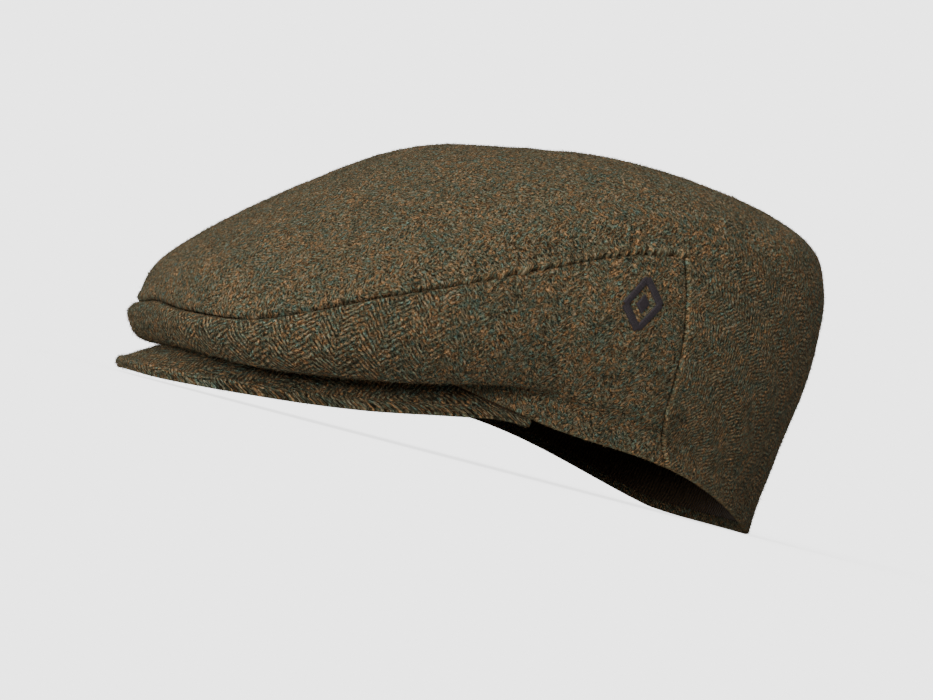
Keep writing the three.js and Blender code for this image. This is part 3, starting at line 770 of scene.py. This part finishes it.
def make_motif(material):
    top, bottom = (0, MOTIF_HALF_HEIGHT), (0, -MOTIF_HALF_HEIGHT)
    left, right = (-MOTIF_HALF_WIDTH, 0), (MOTIF_HALF_WIDTH, 0)
    lines = [(top, right, stroke_reach), (right, bottom, stroke_reach), (bottom, left, stroke_reach),
             (left, top, stroke_reach), ((0, -KERNEL_HALF_HEIGHT), (0, KERNEL_HALF_HEIGHT), kernel_reach)]
    points, faces, cloth = [], [], []
    for start, end, reach in lines:
        rings = satin_stitches(start, end, reach)
        stitches, steps, sides = rings.shape[:3]
        base = sum(len(p) for p in points)
        ids = base + np.arange(stitches * steps * sides).reshape(stitches, steps, sides)
        faces += faces_between(ids[:, :-1], ids[:, 1:])
        faces += ids[:, 0].tolist() + ids[:, -1, ::-1].tolist()
        points.append(rings.reshape(-1, 3))
        beside = np.arange(stitches)[:, None] * [0.0, MOTIF_THREAD, 0.0]
        cloth.append(np.repeat(beside, steps * sides, axis=0))
    return make_piece("motif_embroidery", np.concatenate(points), faces, material, np.concatenate(cloth))


# Materials

STRIPE_MM = 8.0  # one herringbone stripe
TWILL_MM = 2.2  # between twill lines along the stripe, which is 1.41 times their spacing
RIB_MM = 1.5  # between the lining twill's ribs. Real ones are about 0.8 mm apart, too fine to show.


def linear(hex_colour):
    """An sRGB colour such as #a79a80 as the linear values that shaders take."""
    channels = [int(hex_colour[k:k + 2], 16) / 255 for k in (1, 3, 5)]
    return [c / 12.92 if c <= 0.04045 else ((c + 0.055) / 1.055) ** 2.4 for c in channels] + [1.0]


def add(tree, kind, settings=None, **links):
    """Adds a node, with settings by attribute or socket name and links by socket name."""
    node = tree.nodes.new(kind)
    for key, value in (settings or {}).items():
        if isinstance(key, int) or key in node.inputs:
            node.inputs[key].default_value = value
        else:
            setattr(node, key, value)
    for key, source in links.items():
        numbered = key[0] == "i" and key[1:].isdigit()
        socket = node.inputs[int(key[1:])] if numbered else node.inputs[key.replace("_", " ")]
        tree.links.new(source, socket)
    return node


def ramp(tree, source, stops):
    node = add(tree, "ShaderNodeValToRGB", i0=source)
    elements = node.color_ramp.elements
    while len(elements) > 1:
        elements.remove(elements[-1])
    elements[0].position, elements[0].color = stops[0]
    for position, colour in stops[1:]:
        elements.new(position).color = colour
    return node.outputs["Color"]


def new_material(name):
    material = bpy.data.materials.new(name)
    material.use_nodes = True
    material.node_tree.nodes.clear()
    return material, material.node_tree


def tweed_material():
    """Brushed wool tweed: a herringbone of heathered yarns under a short nap. To the eye it is a fine mottle
    of dark olive, teal, rust and beige with no gloss, and the herringbone shows where it is less brushed."""
    material, tree = new_material("brushed wool herringbone tweed")
    cloth = add(tree, "ShaderNodeAttribute", {"attribute_name": "cloth_mm"}).outputs["Vector"]
    wander = add(tree, "ShaderNodeTexNoise", {"Scale": 0.2, "Detail": 1.0}, Vector=cloth).outputs["Color"]
    drift = add(tree, "ShaderNodeVectorMath", {"operation": "MULTIPLY_ADD", 1: (2.0, 2.0, 0)}, i0=wander,
                i2=cloth).outputs["Vector"]
    curl = add(tree, "ShaderNodeTexNoise", {"Scale": 0.8, "Detail": 1.0}, Vector=cloth).outputs["Color"]
    curled = add(tree, "ShaderNodeVectorMath", {"operation": "MULTIPLY_ADD", 1: (1.5, 1.5, 0)}, i0=curl,
                 i2=drift).outputs["Vector"]

    def diagonals(place):
        """Distances across and along the twill, which turns over at each stripe, and the stripe's number."""
        split = add(tree, "ShaderNodeSeparateXYZ", Vector=place)
        x, y = split.outputs["X"], split.outputs["Y"]
        zigzag = add(tree, "ShaderNodeMath", {"operation": "PINGPONG", 1: STRIPE_MM}, i0=x).outputs[0]
        count = add(tree, "ShaderNodeMath", {"operation": "DIVIDE", 1: STRIPE_MM}, i0=x).outputs[0]
        count = add(tree, "ShaderNodeMath", {"operation": "FLOOR"}, i0=count).outputs[0]
        across = add(tree, "ShaderNodeMath", {"operation": "ADD"}, i0=zigzag, i1=y).outputs[0]
        along = add(tree, "ShaderNodeMath", {"operation": "SUBTRACT"}, i0=zigzag, i1=y).outputs[0]
        return across, along, count

    straight, _, _ = diagonals(drift)
    across, along, count = diagonals(curled)
    stripe = add(tree, "ShaderNodeMath", {"operation": "MULTIPLY", 1: 17.3}, i0=count).outputs[0]
    yarn = add(tree, "ShaderNodeCombineXYZ", X=across, Y=along, Z=stripe).outputs["Vector"]

    def flecks(width, length, seed, detail):
        """Noise with cells of a width and a length along the yarn, both in millimetres."""
        scale = (1 / width / math.sqrt(2), 1 / length / math.sqrt(2), 1.0)
        shift = (seed, seed * 2, seed)
        place = add(tree, "ShaderNodeVectorMath", {"operation": "MULTIPLY_ADD", 1: scale, 2: shift},
                    i0=yarn).outputs["Vector"]
        return add(tree, "ShaderNodeTexNoise", {"Scale": 1.0, "Detail": detail, "Roughness": 0.55},
                   Vector=place).outputs["Fac"]

    # A real yarn's fibres are 0.02 mm thick. They are drawn as tufts of 0.3 to 1.8 mm, which can show.
    tint = flecks(width=1.15, length=1.8, seed=3.1, detail=2.0)
    depth = flecks(width=0.47, length=0.85, seed=21.7, detail=2.0)
    hair = flecks(width=0.33, length=1.8, seed=47.3, detail=1.0)
    cloudy = add(tree, "ShaderNodeTexNoise", {"Scale": 0.07, "Detail": 3.0}, Vector=cloth).outputs["Fac"]
    fibre = add(tree, "ShaderNodeTexNoise", {"Scale": 3.2, "Detail": 2.0, "Roughness": 0.7},
                Vector=cloth).outputs["Fac"]
    tinted = ramp(tree, tint, [
        (0.32, linear("#4e6057")), (0.41, linear("#4d5444")), (0.48, linear("#514c3a")),
        (0.54, linear("#5b4f3b")), (0.61, linear("#73563a")), (0.70, linear("#876949"))])
    shade = ramp(tree, depth, [
        (0.32, (0.12, 0.12, 0.11, 1)), (0.42, (0.35, 0.35, 0.34, 1)), (0.50, (0.86, 0.86, 0.85, 1)),
        (0.59, (1.72, 1.72, 1.7, 1)), (0.70, (3.1, 3.1, 3.05, 1))])
    grain = ramp(tree, fibre, [(0.35, (0.6, 0.6, 0.6, 1)), (0.65, (1.42, 1.42, 1.42, 1))])

    blend = {"data_type": "RGBA", "blend_type": "MIX"}
    multiply = {"data_type": "RGBA", "blend_type": "MULTIPLY"}
    all_of_it = {**multiply, 0: 1.0}
    yarns = add(tree, "ShaderNodeMix", all_of_it, i6=tinted, i7=shade).outputs[2]
    yarns = add(tree, "ShaderNodeMix", all_of_it, i6=yarns, i7=grain).outputs[2]
    pale_hair = add(tree, "ShaderNodeMapRange", {"From Min": 0.58, "From Max": 0.72, "To Max": 0.75},
                    Value=hair).outputs[0]
    yarns = add(tree, "ShaderNodeMix", {**blend, 7: linear("#a79a80")}, i0=pale_hair, i6=yarns).outputs[2]
    twill_wave = 2 * math.pi / TWILL_MM
    phase = add(tree, "ShaderNodeMath", {"operation": "MULTIPLY", 1: twill_wave}, i0=straight).outputs[0]
    twill = add(tree, "ShaderNodeMath", {"operation": "SINE"}, i0=phase).outputs[0]
    lines = add(tree, "ShaderNodeMapRange", {
        "From Min": -1.0, "From Max": 1.0, "To Min": 0.35, "To Max": 1.5}, Value=twill).outputs[0]
    weave = add(tree, "ShaderNodeAttribute", {"attribute_name": "weave"}).outputs["Fac"]
    shows = add(tree, "ShaderNodeMath", {"operation": "MULTIPLY", 1: 0.95}, i0=weave).outputs[0]
    lined = add(tree, "ShaderNodeMix", multiply, i0=shows, i6=yarns, i7=lines).outputs[2]
    patches = ramp(tree, cloudy, [(0.35, (0.86, 0.92, 0.94, 1)), (0.65, (1.12, 1.05, 1.0, 1))])
    clouded = add(tree, "ShaderNodeMix", all_of_it, i6=lined, i7=patches).outputs[2]

    # Where a seam stands up and rubs, the cloth is worn paler.
    wear = add(tree, "ShaderNodeAttribute", {"attribute_name": "seam_wear"}).outputs["Fac"]
    some = add(tree, "ShaderNodeMath", {"operation": "MULTIPLY", 1: 0.85}, i0=wear).outputs[0]
    pale = add(tree, "ShaderNodeMix", {**all_of_it, 7: (1.9, 1.8, 1.7, 1)}, i6=clouded).outputs[2]
    softened = add(tree, "ShaderNodeMix", {**blend, 0: 0.4, 7: linear("#937f5a")}, i6=pale).outputs[2]
    worn = add(tree, "ShaderNodeMix", blend, i0=some, i6=clouded, i7=softened).outputs[2]

    ribs = add(tree, "ShaderNodeMath", {"operation": "MULTIPLY"}, i0=twill, i1=weave).outputs[0]
    height = add(tree, "ShaderNodeMath", {"operation": "MULTIPLY_ADD", 1: 0.18}, i0=ribs, i2=depth).outputs[0]
    height = add(tree, "ShaderNodeMath", {"operation": "MULTIPLY_ADD", 1: 0.6}, i0=fibre,
                 i2=height).outputs[0]
    bump = add(tree, "ShaderNodeBump", {"Strength": 1.0, "Distance": 0.0005}, Height=height)
    shader = add(tree, "ShaderNodeBsdfPrincipled", {
        "Roughness": 0.95, "Specular IOR Level": 0.08, "Sheen Weight": 0.1, "Sheen Roughness": 0.5,
        "Sheen Tint": linear("#a89a7c")}, Base_Color=worn, Normal=bump.outputs["Normal"])
    add(tree, "ShaderNodeOutputMaterial", Surface=shader.outputs["BSDF"])
    return material


def twill_material():
    """Cotton twill: fine slanting ribs, matt and nearly black in the shade of the crown."""
    material, tree = new_material("dark brown cotton twill")
    cloth = add(tree, "ShaderNodeAttribute", {"attribute_name": "cloth_mm"}).outputs["Vector"]
    split = add(tree, "ShaderNodeSeparateXYZ", Vector=cloth)
    lean = add(tree, "ShaderNodeMath", {"operation": "MULTIPLY_ADD", 1: 0.3}, i0=split.outputs["Y"],
               i2=split.outputs["X"]).outputs[0]
    rib_wave = 2 * math.pi / RIB_MM
    phase = add(tree, "ShaderNodeMath", {"operation": "MULTIPLY", 1: rib_wave}, i0=lean).outputs[0]
    rib = add(tree, "ShaderNodeMath", {"operation": "SINE"}, i0=phase).outputs[0]
    noise = add(tree, "ShaderNodeTexNoise", {"Scale": 1.3, "Detail": 4.0}, Vector=cloth)
    tone = add(tree, "ShaderNodeMath", {"operation": "MULTIPLY_ADD", 1: 0.12}, i0=rib,
               i2=noise.outputs["Fac"]).outputs[0]
    colour = ramp(tree, tone, [(0.3, linear("#2e2416")), (0.7, linear("#5c4831"))])
    bump = add(tree, "ShaderNodeBump", {"Strength": 0.6, "Distance": 0.0004}, Height=rib)
    shader = add(tree, "ShaderNodeBsdfPrincipled", {
        "Roughness": 0.8, "Specular IOR Level": 0.2, "Sheen Weight": 0.1},
        Base_Color=colour, Normal=bump.outputs["Normal"])
    add(tree, "ShaderNodeOutputMaterial", Surface=shader.outputs["BSDF"])
    return material


def embroidery_material():
    """Rayon embroidery thread: a dark aubergine, with lighter and darker streaks from stitch to stitch
    painted into its colour as a painted sheen of satin stitch.
    """
    material, tree = new_material("aubergine rayon embroidery thread")
    cloth = add(tree, "ShaderNodeAttribute", {"attribute_name": "cloth_mm"}).outputs["Vector"]
    painted_sheen_streak = add(tree, "ShaderNodeTexNoise", {"Scale": 2.1, "Detail": 2.0}, Vector=cloth).outputs["Fac"]
    # Painted sheen: this noise makes some stitches lighter and some darker in colour, for the silky look of
    # satin stitch.
    colour = ramp(tree, painted_sheen_streak, [(0.35, linear("#201a1d")), (0.65, linear("#362c31"))])
    shader = add(tree, "ShaderNodeBsdfPrincipled", {"Roughness": 0.5, "Specular IOR Level": 0.4,
                                                    "Sheen Weight": 0.1}, Base_Color=colour)
    add(tree, "ShaderNodeOutputMaterial", Surface=shader.outputs["BSDF"])
    return material


tweed = tweed_material()
twill = twill_material()
top_panel, top_surface = make_top_panel(tweed)
side_band, band_surface = make_side_band(tweed)
peak, peak_surface = make_peak(tweed)
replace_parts(top_panel, "top_panel")
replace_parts(side_band, "side_band")
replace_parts(peak, "peak")
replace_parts(make_sweatband(twill), "sweatband")
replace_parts(make_lining(twill), "lining")
make_motif(embroidery_material())
make_nap("top_panel_nap", top_surface, count=48000, seed=41, material=tweed)
make_nap("side_band_nap", band_surface, count=34000, seed=42, material=tweed)
make_nap("peak_nap", peak_surface, count=10000, seed=43, material=tweed)


# Floor, light and camera

BACKDROP = 3.3  # how bright the pale studio is to the camera, which comes out near white
ROOM_LIGHT = 0.3
FLOOR_BOUNCE = 0.6
FLOOR_GLOW = 0.68  # the share of the floor's brightness that the cap's shadow leaves
FLOOR_HALF_SIZE = 60  # metres
LAMPS = {
    "key": {"from": (0.35, -0.45, 0.82), "strength": 1.18, "spread": 50},
    "fill": {"from": (0.64, -0.74, 0.13), "strength": 2.1, "spread": 22},
}
floor_light = ROOM_LIGHT + sum(
    lamp["strength"] / math.pi * lamp["from"][2] / math.hypot(*lamp["from"]) for lamp in LAMPS.values())


def seen_or_lighting(tree, lighting, seen):
    """One strength for the light that falls on the cap and another for what the camera sees."""
    path = add(tree, "ShaderNodeLightPath").outputs["Is Camera Ray"]
    return add(tree, "ShaderNodeMapRange", {"To Min": lighting, "To Max": seen}, Value=path).outputs[0]


floor_material, floor_tree = new_material("matt white studio floor")
floor_tone = seen_or_lighting(floor_tree, FLOOR_BOUNCE, (1 - FLOOR_GLOW) * BACKDROP / floor_light)
floor_colour = add(floor_tree, "ShaderNodeCombineColor", Red=floor_tone, Green=floor_tone, Blue=floor_tone)
floor_shader = add(floor_tree, "ShaderNodeBsdfDiffuse", Color=floor_colour.outputs[0])
floor_glow = add(floor_tree, "ShaderNodeEmission", {"Color": (1, 1, 1, 1)},
                 Strength=seen_or_lighting(floor_tree, 0.0, FLOOR_GLOW * BACKDROP))
floor_both = add(floor_tree, "ShaderNodeAddShader", i0=floor_shader.outputs[0], i1=floor_glow.outputs[0])
add(floor_tree, "ShaderNodeOutputMaterial", Surface=floor_both.outputs[0])
floor_mesh = bpy.data.meshes.new("floor")
sides = ((-1, -1), (1, -1), (1, 1), (-1, 1))
floor_corners = [(x * FLOOR_HALF_SIZE, y * FLOOR_HALF_SIZE, 0) for x, y in sides]
floor_mesh.from_pydata(floor_corners, [], [[0, 1, 2, 3]])
floor_mesh.materials.append(floor_material)
floor = bpy.data.objects.new("floor", floor_mesh)
bpy.context.scene.collection.objects.link(floor)

world = bpy.data.worlds.new("studio")
world.use_nodes = True
world.node_tree.nodes.clear()
backdrop = add(world.node_tree, "ShaderNodeBackground", {"Color": (1, 1, 1, 1)},
               Strength=seen_or_lighting(world.node_tree, ROOM_LIGHT, BACKDROP))
add(world.node_tree, "ShaderNodeOutputWorld", Surface=backdrop.outputs[0])
bpy.context.scene.world = world

for name, lamp in LAMPS.items():
    light = bpy.data.lights.new(name, "SUN")
    light.energy = lamp["strength"]
    light.angle = math.radians(lamp["spread"])
    holder = bpy.data.objects.new(name, light)
    holder.rotation_euler = Vector(lamp["from"]).to_track_quat("Z", "Y").to_euler()
    bpy.context.scene.collection.objects.link(holder)

# The camera, in metres and degrees. It stays above the floor, so the photo's tilt of the cap is its roll.
AZIMUTH = 22.4
CAMERA_DISTANCE = 1.0
CAMERA_HEIGHT = 0.006
ROLL = 14.7
AIM = Vector((0.002, -0.003, 0.0414))
SENSOR_WIDTH = 36
PICTURE_WIDTH = 933 / 2600  # at the cap: the picture's width over its scale
camera_turn = math.radians(AZIMUTH)
eye = Vector((
    math.cos(camera_turn) * CAMERA_DISTANCE,
    -math.sin(camera_turn) * CAMERA_DISTANCE + AIM.y,
    CAMERA_HEIGHT))
camera_data = bpy.data.cameras.new("camera")
camera_data.sensor_width = SENSOR_WIDTH
camera_data.clip_start = 0.004
camera_data.clip_end = 500
camera_data.lens = SENSOR_WIDTH * CAMERA_DISTANCE / PICTURE_WIDTH
camera = bpy.data.objects.new("camera", camera_data)
look = (AIM - eye).to_track_quat("-Z", "Y").to_matrix().to_4x4()
camera.matrix_world = Matrix.Translation(eye) @ look @ Matrix.Rotation(math.radians(ROLL), 4, "Z")
bpy.context.scene.collection.objects.link(camera)
bpy.context.scene.camera = camera
